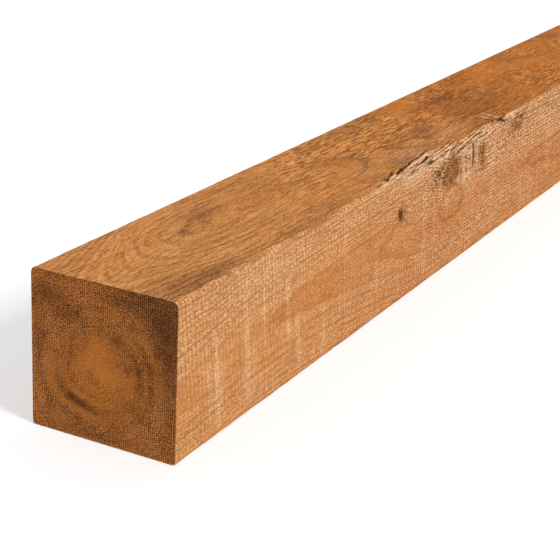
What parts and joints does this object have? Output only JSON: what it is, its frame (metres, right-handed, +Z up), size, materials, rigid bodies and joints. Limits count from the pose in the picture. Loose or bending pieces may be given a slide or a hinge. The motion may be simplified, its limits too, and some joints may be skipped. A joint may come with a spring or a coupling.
{
  "type": "hemlock timber beam",
  "caption": "Square sawn hemlock timber beam with a torn, waney upper arris beside a large knot.",
  "frame": {"origin": "middle of the underside, on the surface that the beam lies on", "axes": "+X along the beam from the near end to the far end, +Y across it towards the plain side, +Z up"},
  "size_m": [2.4384, 0.1524, 0.1524],
  "materials": {
    "hemlock": "rough sawn, brown-stained"
  },
  "bodies": {
    "root": {"beam": "hemlock"}
  },
  "joints": []
}
